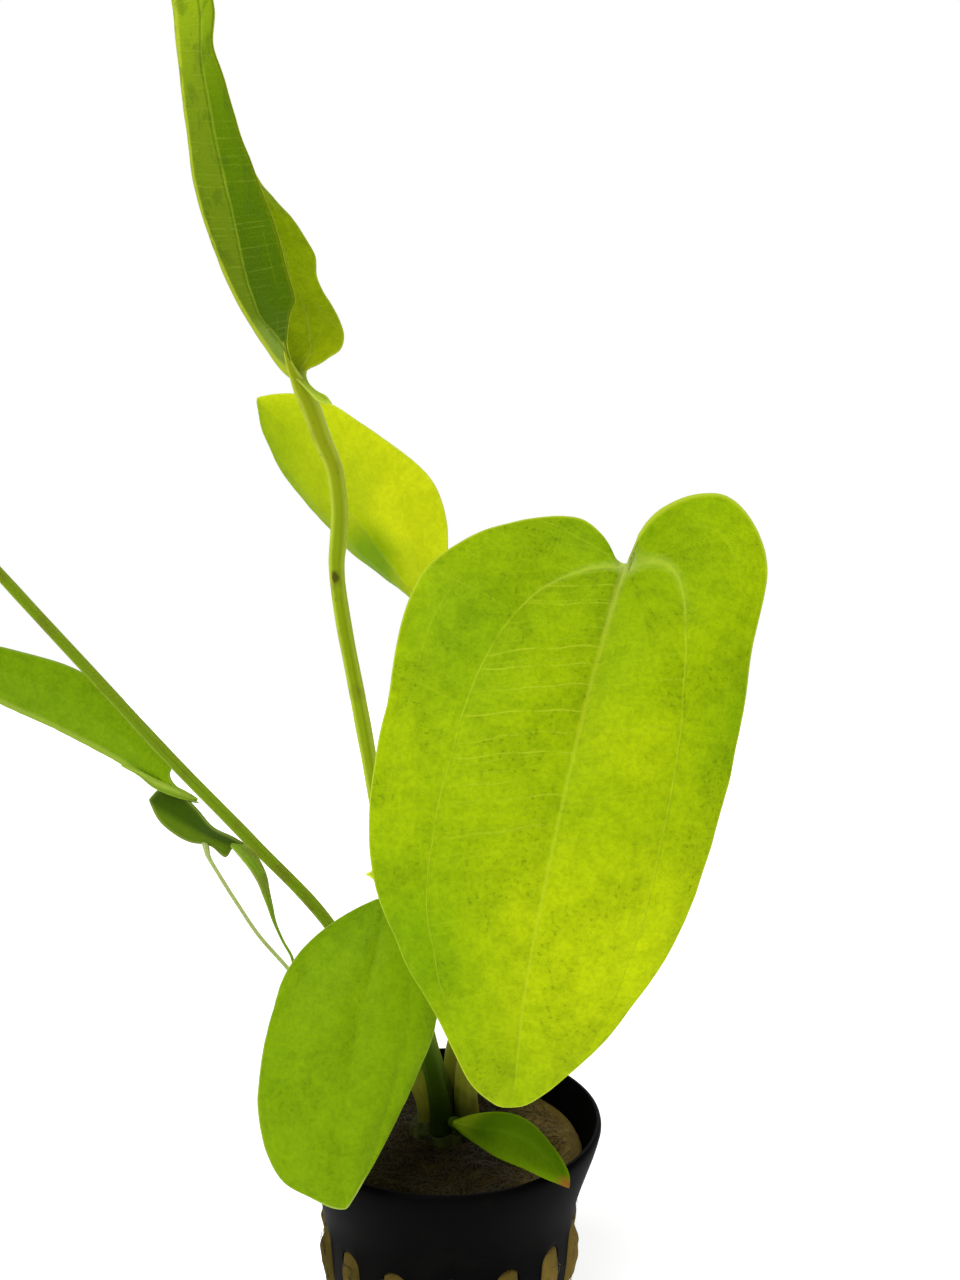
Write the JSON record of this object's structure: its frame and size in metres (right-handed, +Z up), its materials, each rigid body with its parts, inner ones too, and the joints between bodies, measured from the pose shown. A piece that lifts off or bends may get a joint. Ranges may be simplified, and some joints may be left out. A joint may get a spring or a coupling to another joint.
{
  "type": "creeping burhead plant in a net pot",
  "caption": "Heart-leaved marsh plant on long arching stalks, rooted in brown rock wool in a small black slotted net pot.",
  "frame": {"origin": "centre of the net pot's underside, which the plant stands on", "axes": "+Z up, -Y the side that the large front leaf faces, +X to the right seen from there"},
  "size_m": [0.1931, 0.0807, 0.2515],
  "materials": {
    "pot_plastic": "satin",
    "rock_wool": "matte",
    "leaf": "satin",
    "pale_leaf": "satin",
    "stalk": "satin"
  },
  "bodies": {
    "root": {"net_pot": "pot_plastic", "rock_wool_plug": "rock_wool", "crown": "stalk", "front_leaf": "leaf", "low_left_leaf": "leaf", "upper_leaf": "leaf", "back_leaf": "pale_leaf", "left_leaf": "leaf", "far_left_leaf": "leaf", "small_leaf": "leaf", "front_leaf_stalk": "stalk", "upper_leaf_stalk": "stalk", "low_left_leaf_stalk": "stalk", "back_leaf_stalk": "stalk", "far_left_leaf_stalk": "stalk", "small_leaf_stalk": "stalk", "left_leaf_stalk": "stalk"}
  },
  "joints": []
}
